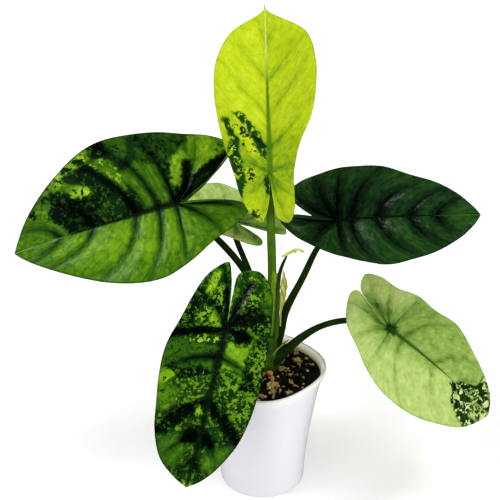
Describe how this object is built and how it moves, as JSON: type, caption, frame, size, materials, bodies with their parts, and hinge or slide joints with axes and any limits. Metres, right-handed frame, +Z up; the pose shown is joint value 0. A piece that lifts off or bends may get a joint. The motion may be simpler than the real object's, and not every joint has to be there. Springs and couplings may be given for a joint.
{
  "type": "potted plant",
  "caption": "Potted alocasia with large variegated heart-shaped leaves on arching stalks, in a white pot that is round at the foot and squarish at the rim.",
  "frame": {"origin": "centre of the pot's flat underside", "axes": "+Z up, -Y to the front, where the upper sides of the leaves look, +X to the right as seen from the front"},
  "size_m": [0.4389, 0.2736, 0.4565],
  "materials": {
    "pot_plastic": "glossy white",
    "potting_mix": "rough dark bark and pumice",
    "stem": "matte green-brown",
    "petiole_light": "satin",
    "petiole_dark": "satin",
    "leaf_lime": "satin",
    "leaf_green": "glossy",
    "leaf_dark": "glossy",
    "leaf_mottled": "satin, mottled",
    "leaf_pale": "satin",
    "sheath": "satin",
    "spent_sheath": "dry and matte"
  },
  "bodies": {
    "root": {"pot": "pot_plastic", "potting_mix": "potting_mix", "stem_and_corm": "stem", "petiole_young_top": "petiole_light", "petiole_broad_left": "petiole_dark", "petiole_dark_right": "petiole_dark", "petiole_mottled_front": "petiole_dark", "petiole_pale_right": "petiole_dark", "petiole_pale_back": "petiole_dark", "leaf_blade_young_top": "leaf_lime", "leaf_blade_broad_left": "leaf_green", "leaf_blade_dark_right": "leaf_dark", "leaf_blade_mottled_front": "leaf_mottled", "leaf_blade_pale_right": "leaf_pale", "leaf_blade_pale_back": "leaf_pale", "leaf_sheath": "sheath", "spent_sheath_horn": "spent_sheath", "spent_sheath_dry": "spent_sheath"}
  },
  "joints": []
}
